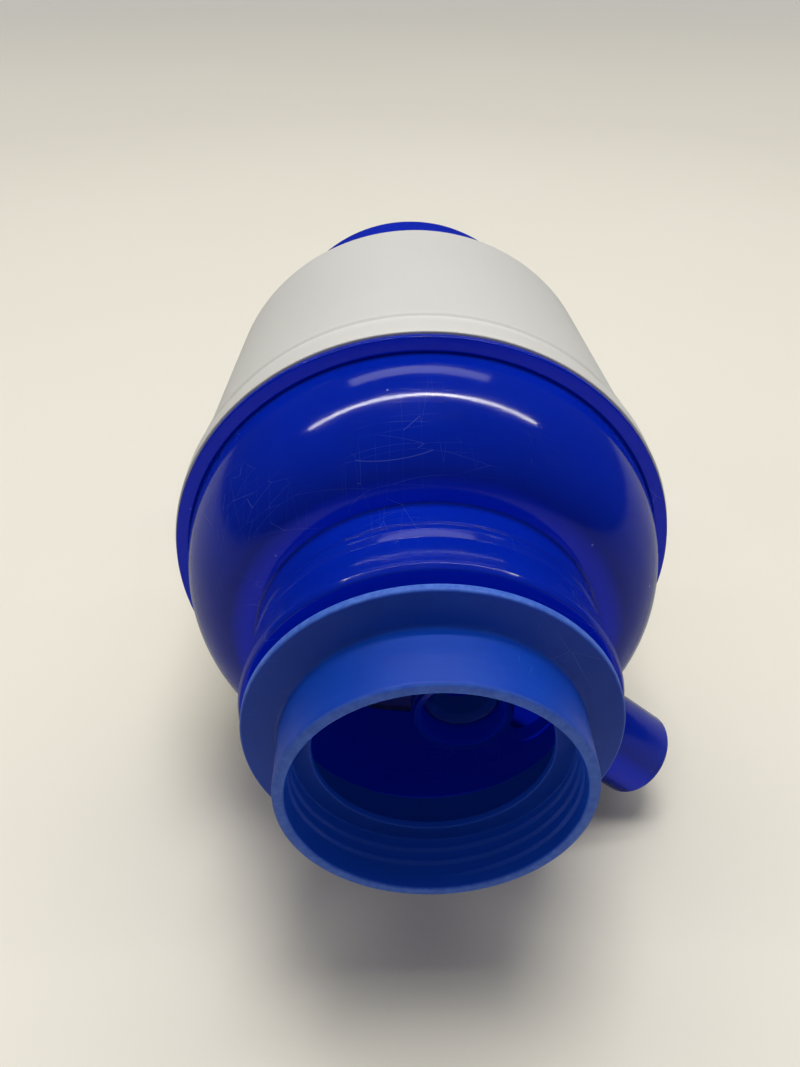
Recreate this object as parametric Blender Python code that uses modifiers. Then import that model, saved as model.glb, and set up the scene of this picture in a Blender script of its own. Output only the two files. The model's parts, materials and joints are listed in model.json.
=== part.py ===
"""Hand pump for a large water bottle, lying on its side.

Every turned piece is drawn as a profile of (radius, station) points in millimetres.  The station is
the distance along the pump's axis from the mouth of the bottle adapter, growing towards the button.
The axis lies along +Y, the mouth faces -Y, and the pump rests on the plane z = 0.  The riser socket
and the outlet stand off the axis towards OUTLET_ANGLE, to the right and down.
"""

import math

import bmesh
import bpy
from mathutils import Matrix, Vector

MM = 0.001
GAP = 0.3                       # clearance between two pieces that touch

# Facets round a full turn.  FINE is even but not a multiple of 4, so the pump rests on a flat facet.
FINE = 30
COARSE = 20
SMALL = 12
TINY = 8
TUBE_RESOLUTION = 8             # a bevelled curve has 4 + 2 x this many sides

# Overall layout
BODY_R = 62.0                   # widest ring, which the pump rests on
MOUTH_END = -1.0                # foremost point of the adapter's rim
BUTTON_TOP = 212.0              # crown of the button, which is the rear end of the pump
AXIS_HEIGHT = BODY_R * math.cos(math.pi / FINE)
MOUTH_Y = -(MOUTH_END + BUTTON_TOP) / 2.0
OUTLET_ANGLE = math.radians(40.7)
OUTLET_REACH = 75.2             # from the axis to the outlet's end
OUTLET_R = 11.2
OUTLET_SIDE = OUTLET_REACH * math.cos(OUTLET_ANGLE) + OUTLET_R * math.sin(OUTLET_ANGLE)
AXIS_X = (BODY_R - OUTLET_SIDE) / 2.0

# Bottle adapter: a soft sleeve that grips a bottle neck of 55 mm
SLEEVE_R = 31.0
BORE_R = 28.6
SHOULDER_R = 24.3
SHOULDER_FRONT = 10.9
SEAT_RELIEF = 1.0               # chamfer that clears the thread ridge from the bottle's seat
SHOULDER_BACK = 12.5
FLANGE_R = 38.8
FLANGE_FRONT = 13.6
FLANGE_BACK = 16.4
SPIGOT_R = 33.2
SPIGOT_BORE = 30.2
BEAD_R = 34.7
BEAD_FRONT = 21.8
BEAD_BACK = 23.4
THREAD_START = 2.2
THREAD_PITCH = 3.1
THREAD_TURNS = 2.5
THREAD_WIRE = 0.9
THREAD_PROUD = 0.6

# Collar that clamps the adapter's bead against the neck of the bowl
COLLAR_R = 39.9
COLLAR_BACK_R = 38.9
COLLAR_FRONT = 19.5
COLLAR_BACK = 30.4
COLLAR_LIP = 2.0
COLLAR_BORE = 35.5

# Bowl: neck, dome, flat lip and the upstand inside the housing
NECK_END = 25.2                 # front end of the spigot under the collar
NECK_SPIGOT_R = 35.1
NECK_STEP = 31.0
NECK_R = 38.2
NECK_TOP_R = 38.5
DOME_START = 42.2
DOME_FOOT_R = 38.9
DOME_R = 57.8
DOME_END = 71.0
LIP_FRONT = 71.4
LIP_R = 61.5
LIP_BACK = 73.2
WALL = 2.4
UPSTAND_R = 59.0
UPSTAND_BORE = 57.0
UPSTAND_TOP = 83.0
SNAP_BEAD = (79.8, 80.6, 81.2)  # foot, crest and top of the bead that the housing snaps over
SNAP_PROUD = 0.8
HOUSING_SEAL = (83.3, 84.5)
LEDGE = 73.2                    # inner ledge that carries the valve plate

# Riser socket and outlet, one L-shaped tube
OUTLET_STATION = 51.2
OUTLET_BORE = 9.2
SOCKET_OFFSET = 9.6
SOCKET_FRONT = 26.0
BEND_R = 12.0
BEND_STEPS = 6
BOSS_R = 15.2
BOSS_START = 35.0
BOSS_REACH = 50.0
OUTLET_HOLE = (30.0, 64.0)
O_RING_GROOVE_R = 13.4
O_RING_GROOVE = (46.0, 48.8)
GROMMET = (31.0, 38.5)
GROMMET_BORE = 6.2

# Valve plate, seals and bellows clamp
PLATE_R = 56.6
PLATE_SEAL = (73.5, 74.6)
PLATE = (74.9, 77.9)
RIB_R = 19.5                    # centring ribs for the spring, on both plates
RIB_HEIGHT = 2.5
PORT_RING_R = 5.6
PORT_R = 1.5
PORT_COUNT = 6
STEM_HOLE_R = 2.2
VALVE_R = 9.5
VALVE_THICK = 1.1
VALVE_LIFT = 1.2

# Bellows and spring
BELLOWS_FLANGE = 1.6
BELLOWS_WALL = 0.9
BELLOWS_OUT_R = 41.0
BELLOWS_IN_R = 33.0
BELLOWS_FOLDS = 6
BELLOWS_BOTTOM = 78.2
CLAMP = (80.1, 82.6)
SPRING_R = 23.0
SPRING_WIRE_R = 0.9
SPRING_TURNS = 7
SPRING_DEAD_TURNS = 1

# Housing shell
SKIRT_FRONT = 73.5
SKIRT_BACK = 79.3
SKIRT_BORE = 59.4
BARREL_R = 61.4
BARREL_TOP_R = 57.6
BARREL_END = 155.0
HOUSING_TOP = 162.6
SHOULDER_ROUND = 7.6
HOUSING_WALL = 2.0
GUIDE_SEAT_R = 48.6
GUIDE_TUBE_R = 50.8
GUIDE_END = 149.0

# Button and what travels with it
BUTTON_R = 46.0
BUTTON_WALL = 2.2
BUTTON_RIM_R = 52.6
BUTTON_FRONT = 144.4
BUTTON_RIM_BACK = 148.7
BUTTON_EDGE = 7.0               # rounding between the side and the crown
BUTTON_CROWN = 3.4              # height of the crown's dome
GUIDE_RING_BORE = 46.4
TOP_PLATE = (151.9, 154.6)
TOP_PLATE_R = 43.4
TOP_LEDGE_BORE = 41.0
TOP_CLAMP = (147.2, 149.7)
VENT_STATION = 160.0
VENT_R = 1.6

# Edges and small steps shared by several pieces
EDGE = 0.5                      # a broken outer edge
SMALL_EDGE = 0.3
SOFT_EDGE = 0.4
STEP_LIP = 1.6                  # width and height of the small ledges that locate a ring or a plate
FLAT_MARGIN = 1.2               # flat land left beside the bellows' folds
FLANGE_EDGE = 1.3               # the flange's outer edge is this thick
FLANGE_THICK = 1.8
SLEEVE_FILLET = (2.0, 0.6)      # the sleeve's foot widens by these two radii into the flange
RIM_MIDDLE_R = 30.0
RIM_ROUND = (1.0, 1.2)          # half width and half height of the sleeve's rounded rim
RIM_CREST = 0.2
MOUTH_LEAD = 0.6                # the mouth's lead-in is this much wider than its bore
LEAD_END = -0.4
SEAL_LAND = 2.0                 # width of the neck's end that the adapter seal lies on
CUTTER_PAST_PLATE = 2.0
CUTTER_PAST_WALL = 5.0
FOLD_START = 2.5                # straight wall between a bellows flange and its first fold
BELLOWS_FLANGE_REACH = 6.5
SLANT = 1.6                     # a slanted bellows wall measured across, over its thickness
HELIX_STEPS = 12                # points in a turn of the spring
BULB = (3.0, 2.4, 0.4)          # heights along the valve's bulb above its shoulder
BULB_TIP_R = 1.6
BULB_PROUD = 0.7
VALVE_HUB_R = 4.0


def material(name, colour, roughness, metallic=0.0):
    """A Principled material with one colour."""
    mat = bpy.data.materials.new(name)
    mat.use_nodes = True
    shader = mat.node_tree.nodes["Principled BSDF"]
    shader.inputs["Base Color"].default_value = (*colour, 1.0)
    shader.inputs["Roughness"].default_value = roughness
    shader.inputs["Metallic"].default_value = metallic
    mat.diffuse_color = (*colour, 1.0)
    return mat


def clear_scene():
    for obj in list(bpy.data.objects):
        bpy.data.objects.remove(obj)


def collection(name):
    col = bpy.data.collections.new(name)
    bpy.context.scene.collection.children.link(col)
    return col


def empty(name, parent=None, location=(0.0, 0.0, 0.0), rotation=(0.0, 0.0, 0.0)):
    obj = bpy.data.objects.new(name, None)
    obj.location = location
    obj.rotation_euler = rotation
    obj.parent = parent
    PUMP.objects.link(obj)
    return obj


def place(obj, mat, parent, target):
    """Give an object its material, its parent and its collection."""
    obj.data.materials.clear()
    obj.data.materials.append(mat)
    obj.parent = parent
    target.objects.link(obj)
    if target is CUTTERS:
        obj.hide_render = True
        obj.display_type = "WIRE"
    return obj


def arc(centre, radii, start, end, count):
    """Points on an ellipse arc about centre, as (radius, station), with angles in degrees."""
    points = []
    for i in range(count + 1):
        a = math.radians(start + (end - start) * i / count)
        points.append((centre[0] + radii[0] * math.cos(a), centre[1] + radii[1] * math.sin(a)))
    return points


def turned(name, profile, mat, parent, steps=FINE, base=0.0, target=None, closed=True):
    """A turned piece.  The profile runs down its outer side, from the button end to the mouth end."""
    mesh = bpy.data.meshes.new(name)
    verts = [(r * MM, 0.0, (s - base) * MM) for r, s in profile]
    edges = [(i, i + 1) for i in range(len(verts) - 1)]
    if closed:
        edges.append((len(verts) - 1, 0))
    mesh.from_pydata(verts, edges, [])
    obj = bpy.data.objects.new(name, mesh)
    place(obj, mat, parent, target or PUMP)
    screw = obj.modifiers.new("turn", "SCREW")
    screw.axis = "Z"
    screw.angle = 2.0 * math.pi
    screw.steps = steps
    screw.render_steps = steps
    screw.use_merge_vertices = True
    screw.merge_threshold = 0.00001
    screw.use_smooth_shade = True
    return obj


def ring(name, outer, inner, stations, mat, parent, steps=COARSE, base=0.0, edge=0.0):
    """A flat ring between two stations, with its outer edges broken by a small chamfer."""
    front, back = stations
    profile = [(inner, back), (outer - edge, back)]
    if edge:
        profile += [(outer, back - edge), (outer, front + edge)]
    profile += [(outer - edge, front), (inner, front)]
    if not edge:
        profile = [(outer, back), (outer, front), (inner, front), (inner, back)]
    return turned(name, profile, mat, parent, steps, base)


def cylinder(name, radius, start, end, mat, parent, target, steps=SMALL):
    """A capped cylinder between two points given in millimetres in the parent's frame."""
    start = Vector(start) * MM
    end = Vector(end) * MM
    length = (end - start).length
    turn = (end - start).to_track_quat("Z", "Y").to_matrix().to_4x4()
    bm = bmesh.new()
    bmesh.ops.create_cone(bm, cap_ends=True, segments=steps, radius1=radius * MM,
                          radius2=radius * MM, depth=length)
    bmesh.ops.transform(bm, matrix=Matrix.Translation((start + end) / 2.0) @ turn, verts=bm.verts)
    mesh = bpy.data.meshes.new(name)
    bm.to_mesh(mesh)
    bm.free()
    return place(bpy.data.objects.new(name, mesh), mat, parent, target)


def combine(obj, other, operation):
    mod = obj.modifiers.new(other.name, "BOOLEAN")
    mod.operation = operation
    mod.solver = "EXACT"
    mod.object = other


def coil_mesh(name, points, wire_r, sides_resolution, mat, parent, target):
    """A wire along points given in millimetres, made as a curve and turned into a closed mesh."""
    curve = bpy.data.curves.new(name, "CURVE")
    curve.dimensions = "3D"
    spline = curve.splines.new("POLY")
    spline.points.add(len(points) - 1)
    for point, (x, y, z) in zip(spline.points, points):
        point.co = (x * MM, y * MM, z * MM, 1.0)
    curve.bevel_depth = wire_r * MM
    curve.bevel_resolution = sides_resolution
    curve.use_fill_caps = True
    source = bpy.data.objects.new(name + "_curve", curve)
    PUMP.objects.link(source)
    bpy.context.view_layer.update()
    evaluated = source.evaluated_get(bpy.context.evaluated_depsgraph_get())
    mesh = bpy.data.meshes.new_from_object(evaluated)
    bm = bmesh.new()
    bm.from_mesh(mesh)
    bmesh.ops.remove_doubles(bm, verts=bm.verts, dist=0.000001)
    bmesh.ops.recalc_face_normals(bm, faces=bm.faces)
    bm.to_mesh(mesh)
    bm.free()
    obj = bpy.data.objects.new(name, mesh)
    obj.matrix_world = source.matrix_world
    bpy.data.objects.remove(source)
    mesh.shade_smooth()
    return place(obj, mat, parent, target)


def along_outlet(distance, station):
    """A point at a distance from the axis in the outlet's direction, in the axis frame."""
    return (distance * math.cos(OUTLET_ANGLE), distance * math.sin(OUTLET_ANGLE), station)


def neck_adapter():
    rim = arc((RIM_MIDDLE_R, RIM_CREST), RIM_ROUND, 0, -90, 3)
    profile = [
        (BEAD_R, BEAD_BACK), (BEAD_R, BEAD_FRONT), (SPIGOT_R, BEAD_FRONT), (SPIGOT_R, FLANGE_BACK),
        (FLANGE_R - EDGE, FLANGE_BACK), (FLANGE_R, FLANGE_BACK - EDGE),
        (FLANGE_R, FLANGE_BACK - FLANGE_EDGE),
        (FLANGE_R - EDGE, FLANGE_BACK - FLANGE_THICK), (SLEEVE_R + SLEEVE_FILLET[0], FLANGE_FRONT),
        (SLEEVE_R + SLEEVE_FILLET[1], FLANGE_FRONT - EDGE), (SLEEVE_R, FLANGE_FRONT - FLANGE_THICK),
        *rim, (BORE_R + MOUTH_LEAD, MOUTH_END + 0.1), (BORE_R, LEAD_END),
        (BORE_R, SHOULDER_FRONT - SEAT_RELIEF),
        (BORE_R - SEAT_RELIEF, SHOULDER_FRONT), (SHOULDER_R, SHOULDER_FRONT), (SHOULDER_R, SHOULDER_BACK),
        (SPIGOT_BORE - 1.0, SHOULDER_BACK), (SPIGOT_BORE, SHOULDER_BACK + 1.0),
        (SPIGOT_BORE, BEAD_BACK),
    ]
    adapter = turned("neck_adapter", profile, ADAPTER_BLUE, AXIS)
    steps = int(FINE * THREAD_TURNS)
    radius = BORE_R + THREAD_WIRE - THREAD_PROUD
    helix = []
    for i in range(steps + 1):
        a = -2.0 * math.pi * THREAD_TURNS * i / steps + math.pi / 2.0
        station = THREAD_START + THREAD_PITCH * THREAD_TURNS * i / steps
        helix.append((radius * math.cos(a), radius * math.sin(a), station))
    ridge = coil_mesh("thread_ridge", helix, THREAD_WIRE, 1, ADAPTER_BLUE, AXIS, CUTTERS)
    combine(adapter, ridge, "UNION")


def collar_and_seal():
    profile = [
        (COLLAR_BORE, COLLAR_BACK), (COLLAR_BACK_R - 0.6, COLLAR_BACK),
        (COLLAR_BACK_R, COLLAR_BACK - 0.8), (COLLAR_R, COLLAR_FRONT + 1.2),
        (COLLAR_R - 0.6, COLLAR_FRONT), (SPIGOT_R + SOFT_EDGE, COLLAR_FRONT),
        (SPIGOT_R + SOFT_EDGE, COLLAR_FRONT + COLLAR_LIP), (COLLAR_BORE, COLLAR_FRONT + COLLAR_LIP),
    ]
    turned("collar_ring", profile, BOWL_BLUE, AXIS)
    seal = (BEAD_BACK + GAP, NECK_END - GAP)
    ring("adapter_seal", BEAD_R, SPIGOT_BORE + SEAL_LAND, seal, RUBBER_GREY, AXIS)


def base_bowl():
    outer_dome = arc((DOME_FOOT_R, DOME_END), (DOME_R - DOME_FOOT_R, DOME_END - DOME_START), 0, -90, 7)
    inner_dome = arc((DOME_FOOT_R - WALL, DOME_END), (DOME_R - DOME_FOOT_R, DOME_END - DOME_START - WALL),
                     -90, 0, 5)
    bead_foot, bead_crest, bead_top = SNAP_BEAD
    profile = [
        (UPSTAND_R, UPSTAND_TOP), (UPSTAND_R, bead_top), (UPSTAND_R + SNAP_PROUD, bead_crest),
        (UPSTAND_R, bead_foot), (UPSTAND_R, LIP_BACK), (LIP_R - SMALL_EDGE, LIP_BACK),
        (LIP_R, LIP_BACK - SMALL_EDGE), (LIP_R, LIP_FRONT + SOFT_EDGE), (LIP_R - SOFT_EDGE, LIP_FRONT),
        (DOME_R + EDGE, LIP_FRONT), *outer_dome, (NECK_TOP_R, DOME_START - 0.2),
        (NECK_R, NECK_STEP), (NECK_SPIGOT_R, NECK_STEP), (NECK_SPIGOT_R, NECK_END),
        (SPIGOT_BORE + SEAL_LAND, NECK_END), (SPIGOT_BORE + SEAL_LAND, NECK_STEP + 1.0),
        (NECK_TOP_R - WALL - 0.2, NECK_STEP + 4.0), *inner_dome,
        (DOME_R - WALL, LEDGE), (UPSTAND_BORE, LEDGE), (UPSTAND_BORE, UPSTAND_TOP),
    ]
    bowl = turned("base_bowl", profile, BOWL_BLUE, AXIS)
    boss = cylinder("outlet_boss", BOSS_R, along_outlet(BOSS_START, OUTLET_STATION),
                    along_outlet(BOSS_REACH, OUTLET_STATION), BOWL_BLUE, AXIS, CUTTERS, COARSE)
    hole = cylinder("outlet_hole", OUTLET_R + GAP, along_outlet(OUTLET_HOLE[0], OUTLET_STATION),
                    along_outlet(OUTLET_HOLE[1], OUTLET_STATION), BOWL_BLUE, AXIS, CUTTERS, COARSE)
    groove = cylinder("o_ring_groove", O_RING_GROOVE_R, along_outlet(O_RING_GROOVE[0], OUTLET_STATION),
                      along_outlet(O_RING_GROOVE[1], OUTLET_STATION), BOWL_BLUE, AXIS, CUTTERS, COARSE)
    combine(bowl, boss, "UNION")
    combine(bowl, hole, "DIFFERENCE")
    combine(bowl, groove, "DIFFERENCE")


def elbow_path(overshoot):
    """The tube's centre line, from the socket's end round the bend to the outlet's end."""
    points = [along_outlet(SOCKET_OFFSET, SOCKET_FRONT - overshoot)]
    for i in range(BEND_STEPS + 1):
        a = math.pi / 2.0 * i / BEND_STEPS
        distance = SOCKET_OFFSET + BEND_R * (1.0 - math.cos(a))
        points.append(along_outlet(distance, OUTLET_STATION - BEND_R * (1.0 - math.sin(a))))
    points.append(along_outlet(OUTLET_REACH + overshoot, OUTLET_STATION))
    return points


def outlet_elbow():
    elbow = coil_mesh("outlet_elbow", elbow_path(0.0), OUTLET_R, TUBE_RESOLUTION, BOWL_BLUE, AXIS, PUMP)
    bore = coil_mesh("elbow_bore", elbow_path(CUTTER_PAST_WALL), OUTLET_BORE, TUBE_RESOLUTION,
                     BOWL_BLUE, AXIS, CUTTERS)
    combine(elbow, bore, "DIFFERENCE")
    mid = sum(O_RING_GROOVE) / 2.0
    turn = Vector(along_outlet(1.0, 0.0)).to_track_quat("Z", "Y").to_euler()
    spot = tuple(c * MM for c in along_outlet(mid, OUTLET_STATION))
    seat = empty("outlet_seal_seat", AXIS, spot, turn)
    wire = (O_RING_GROOVE_R - OUTLET_R) / 2.0 - GAP
    loop = arc(((O_RING_GROOVE_R + OUTLET_R) / 2.0, 0.0), (wire, wire), 90, -225, 7)
    turned("outlet_o_ring", loop, RUBBER_BLACK, seat, COARSE)
    grommet_seat = empty("riser_seat", AXIS, tuple(c * MM for c in along_outlet(SOCKET_OFFSET, 0.0)))
    ring("riser_grommet", OUTLET_BORE - 2.0 * GAP, GROMMET_BORE, GROMMET, ADAPTER_BLUE, grommet_seat,
         COARSE)


def plate_profile(stations, outer, rib_side):
    """A disc on the axis with a hole for a valve stem and a rib that centres the spring."""
    front, back = stations
    rib = [(RIB_R, 0.0), (RIB_R, RIB_HEIGHT), (RIB_R - STEP_LIP, RIB_HEIGHT), (RIB_R - STEP_LIP, 0.0)]
    if rib_side > 0:
        upper = [(r, back + h) for r, h in reversed(rib)]
        return [(STEM_HOLE_R, back), *upper, (outer, back), (outer, front), (STEM_HOLE_R, front)]
    lower = [(r, front - h) for r, h in rib]
    return [(STEM_HOLE_R, back), (outer, back), (outer, front), *lower, (STEM_HOLE_R, front)]


def valve_ports(plate, prefix, stations, parent, base):
    for i in range(PORT_COUNT):
        a = 2.0 * math.pi * i / PORT_COUNT
        x = PORT_RING_R * math.cos(a)
        y = PORT_RING_R * math.sin(a)
        port = cylinder(prefix + "_port_" + str(i), PORT_R, (x, y, stations[0] - CUTTER_PAST_PLATE - base),
                        (x, y, stations[1] + CUTTER_PAST_PLATE - base), BOWL_BLUE, parent, CUTTERS, TINY)
        combine(plate, port, "DIFFERENCE")


def valve(name, plate_stations, parent, base):
    """A rubber mushroom: a disc under the plate, a stem through it and a bulb that keeps it there."""
    front, back = plate_stations
    disc_back = front - GAP
    bulb = back + VALVE_LIFT + GAP
    stem_r = STEM_HOLE_R - GAP
    tip, crest, shoulder = BULB
    profile = [
        (0.0, bulb + tip), (BULB_TIP_R, bulb + crest), (STEM_HOLE_R + BULB_PROUD, bulb + shoulder),
        (STEM_HOLE_R + BULB_PROUD, bulb), (stem_r, bulb), (stem_r, disc_back), (VALVE_R, disc_back),
        (VALVE_R, disc_back - VALVE_THICK * 0.6), (VALVE_HUB_R, disc_back - VALVE_THICK * 1.4),
        (0.0, disc_back - VALVE_THICK * 1.6),
    ]
    turned(name, profile, SILICONE, parent, SMALL, base, closed=False)


def valve_plate_and_clamp():
    ring("plate_seal", UPSTAND_BORE - GAP, DOME_R - WALL, PLATE_SEAL, RUBBER_GREY, AXIS, FINE)
    plate = turned("valve_plate", plate_profile(PLATE, PLATE_R, 1), WHITE_INNER, AXIS, COARSE)
    valve_ports(plate, "outlet", PLATE, AXIS, 0.0)
    seat = empty("outlet_valve_slide", AXIS)
    valve("outlet_valve", PLATE, seat, 0.0)
    ring("bellows_bottom_ring", PLATE_R, BELLOWS_OUT_R + FLAT_MARGIN, CLAMP, WHITE_INNER, AXIS, COARSE,
         0.0, EDGE)


def bellows():
    """An accordion tube between two flat flanges, with its zigzag wall drawn once on each side."""
    bottom = BELLOWS_BOTTOM
    top = TOP_PLATE[0] - GAP
    flange_r = BELLOWS_OUT_R + BELLOWS_FLANGE_REACH
    top_flange_r = TOP_PLATE_R
    first = bottom + BELLOWS_FLANGE + FOLD_START
    last = top - BELLOWS_FLANGE - FOLD_START
    pitch = (last - first) / BELLOWS_FOLDS
    outer = []
    inner = []
    for i in range(2 * BELLOWS_FOLDS + 1):
        station = last - pitch * i / 2.0
        wide = i % 2 == 1
        radius = BELLOWS_OUT_R if wide else BELLOWS_IN_R
        outer.append((radius, station))
        inner.append((radius - BELLOWS_WALL * SLANT, station))
    profile = [
        (top_flange_r, top), (top_flange_r, top - BELLOWS_FLANGE),
        (BELLOWS_IN_R, top - BELLOWS_FLANGE), *outer, (BELLOWS_IN_R, bottom + BELLOWS_FLANGE),
        (flange_r, bottom + BELLOWS_FLANGE), (flange_r, bottom),
        (BELLOWS_IN_R - BELLOWS_WALL * SLANT, bottom), *reversed(inner),
        (BELLOWS_IN_R - BELLOWS_WALL * SLANT, top),
    ]
    turned("bellows", profile, BELLOWS_WHITE, AXIS, COARSE)


def return_spring():
    bottom = PLATE[1] + GAP + SPRING_WIRE_R
    top = TOP_PLATE[0] - GAP - SPRING_WIRE_R
    total = SPRING_TURNS + 2 * SPRING_DEAD_TURNS
    wire_pitch = 2.0 * SPRING_WIRE_R + GAP
    rise = top - bottom - 2 * SPRING_DEAD_TURNS * wire_pitch
    points = []
    for i in range(total * HELIX_STEPS + 1):
        turns = i / HELIX_STEPS
        active = min(max(turns - SPRING_DEAD_TURNS, 0.0), SPRING_TURNS)
        dead = turns - active
        station = bottom + dead * wire_pitch + rise * active / SPRING_TURNS
        a = 2.0 * math.pi * turns
        points.append((SPRING_R * math.cos(a), SPRING_R * math.sin(a), station))
    coil_mesh("return_spring", points, SPRING_WIRE_R, 1, STEEL, AXIS, PUMP)


def housing_shell():
    shoulder = arc((BARREL_TOP_R - SHOULDER_ROUND, BARREL_END), (SHOULDER_ROUND, SHOULDER_ROUND), 90, 0, 6)
    inner_r = SHOULDER_ROUND - HOUSING_WALL
    inner_shoulder = arc((BARREL_TOP_R - SHOULDER_ROUND, BARREL_END), (inner_r, inner_r), 0, 45, 3)
    bead_foot, bead_crest, bead_top = SNAP_BEAD
    ledge = HOUSING_SEAL[1] + GAP
    profile = [
        (GUIDE_SEAT_R, HOUSING_TOP), *shoulder, (BARREL_R - SMALL_EDGE, SKIRT_BACK + STEP_LIP),
        (BARREL_R, SKIRT_BACK + 0.7), (BODY_R, SKIRT_BACK), (BODY_R, SKIRT_FRONT + EDGE),
        (BODY_R - EDGE, SKIRT_FRONT), (SKIRT_BORE, SKIRT_FRONT), (SKIRT_BORE, bead_foot - GAP),
        (SKIRT_BORE + SNAP_PROUD, bead_crest), (SKIRT_BORE, bead_top + GAP), (SKIRT_BORE, ledge),
        (PLATE_R - 1.4, ledge), (PLATE_R - 1.4, ledge + STEP_LIP),
        (BARREL_R - HOUSING_WALL - 0.4, ledge + 3.4), *inner_shoulder,
        (GUIDE_TUBE_R, HOUSING_TOP - HOUSING_WALL - 1.5), (GUIDE_TUBE_R, GUIDE_END),
        (GUIDE_SEAT_R - STEP_LIP, GUIDE_END),
        (GUIDE_SEAT_R - STEP_LIP, GUIDE_END + STEP_LIP), (GUIDE_SEAT_R, GUIDE_END + STEP_LIP),
    ]
    turned("housing_shell", profile, HOUSING_WHITE, AXIS)
    guide = (GUIDE_END + STEP_LIP + GAP, HOUSING_TOP - SOFT_EDGE)
    ring("button_guide_ring", GUIDE_SEAT_R - GAP, GUIDE_RING_BORE, guide, WHITE_INNER, AXIS, FINE)
    ring("housing_seal", SKIRT_BORE - GAP, UPSTAND_BORE + GAP, HOUSING_SEAL, RUBBER_GREY, AXIS, FINE)


def press_button():
    edge_centre = BUTTON_R - BUTTON_EDGE
    side_top = BUTTON_TOP - BUTTON_CROWN - BUTTON_EDGE
    edge = arc((edge_centre, side_top), (BUTTON_EDGE, BUTTON_EDGE), 72, 0, 6)
    crown_foot = edge[0]
    crown = []
    inner_crown = []
    for i in range(5):
        share = i / 5.0
        height = BUTTON_TOP - (BUTTON_TOP - crown_foot[1]) * share ** 2
        crown.append((crown_foot[0] * share, height))
        inner_crown.append((crown_foot[0] * share, height - BUTTON_WALL))
    inner_edge_r = BUTTON_EDGE - BUTTON_WALL
    inner_edge = arc((edge_centre, side_top), (inner_edge_r, inner_edge_r), 0, 60, 3)
    bore = BUTTON_R - BUTTON_WALL
    ledge = TOP_PLATE[1] + GAP
    base = BUTTON_FRONT
    profile = [
        *crown, *edge, (BUTTON_R, BUTTON_RIM_BACK), (BUTTON_RIM_R, BUTTON_RIM_BACK),
        (BUTTON_RIM_R, BUTTON_FRONT + SOFT_EDGE), (BUTTON_RIM_R - SOFT_EDGE, BUTTON_FRONT),
        (bore, BUTTON_FRONT), (bore, ledge), (TOP_LEDGE_BORE, ledge), (TOP_LEDGE_BORE, ledge + STEP_LIP),
        (bore, ledge + 4.0), *inner_edge, *reversed(inner_crown),
    ]
    button = turned("press_button", profile, BUTTON_BLUE, SLIDE, FINE, base, closed=False)
    for i in range(4):
        a = math.pi * (0.25 + 0.5 * i)
        ends = [(r * math.cos(a), r * math.sin(a), VENT_STATION - base)
                for r in (bore - CUTTER_PAST_WALL, BUTTON_R + CUTTER_PAST_WALL)]
        vent = cylinder("vent_" + str(i), VENT_R, ends[0], ends[1], BUTTON_BLUE, SLIDE, CUTTERS, TINY)
        combine(button, vent, "DIFFERENCE")


def top_plate():
    base = BUTTON_FRONT
    plate = turned("bellows_plate", plate_profile(TOP_PLATE, TOP_PLATE_R, -1), WHITE_INNER, SLIDE,
                   COARSE, base)
    valve_ports(plate, "inlet", TOP_PLATE, SLIDE, base)
    seat = empty("inlet_valve_slide", SLIDE)
    valve("inlet_valve", TOP_PLATE, seat, base)
    ring("bellows_top_ring", TOP_PLATE_R, BELLOWS_IN_R + FLAT_MARGIN, TOP_CLAMP, WHITE_INNER, SLIDE, COARSE,
         base, EDGE)


clear_scene()
PUMP = collection("bottle_hand_pump")
CUTTERS = collection("cutters")

BOWL_BLUE = material("bowl_blue", (0.003, 0.010, 0.27), 0.14)
ADAPTER_BLUE = material("adapter_blue", (0.012, 0.06, 0.33), 0.42)
BUTTON_BLUE = material("button_blue", (0.004, 0.016, 0.36), 0.2)
HOUSING_WHITE = material("housing_white", (0.72, 0.71, 0.69), 0.38)
WHITE_INNER = material("inner_white", (0.68, 0.68, 0.66), 0.45)
BELLOWS_WHITE = material("bellows_white", (0.78, 0.78, 0.76), 0.55)
SILICONE = material("silicone", (0.75, 0.75, 0.72), 0.5)
RUBBER_GREY = material("rubber_grey", (0.33, 0.33, 0.33), 0.7)
RUBBER_BLACK = material("rubber_black", (0.02, 0.02, 0.02), 0.7)
STEEL = material("steel", (0.62, 0.61, 0.59), 0.25, 1.0)

AXIS = empty("pump_axis", None, (AXIS_X * MM, MOUTH_Y * MM, AXIS_HEIGHT * MM),
             (-math.pi / 2.0, 0.0, 0.0))
SLIDE = empty("button_slide", AXIS, (0.0, 0.0, BUTTON_FRONT * MM))

neck_adapter()
collar_and_seal()
base_bowl()
outlet_elbow()
valve_plate_and_clamp()
bellows()
return_spring()
housing_shell()
press_button()
top_plate()
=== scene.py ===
"""Looks of a hand pump for bottled water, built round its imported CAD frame.

Every turned piece is drawn as an outline of (radius, station, corner) in millimetres.  The station runs
along the pump's axis from the adapter's mouth towards the button, and corner is the rounding of that
point.  The outlines start from the boxes of the CAD nodes that they replace.
"""
import json
import math

import bmesh
import bpy
from mathutils import Matrix, Vector


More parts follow.
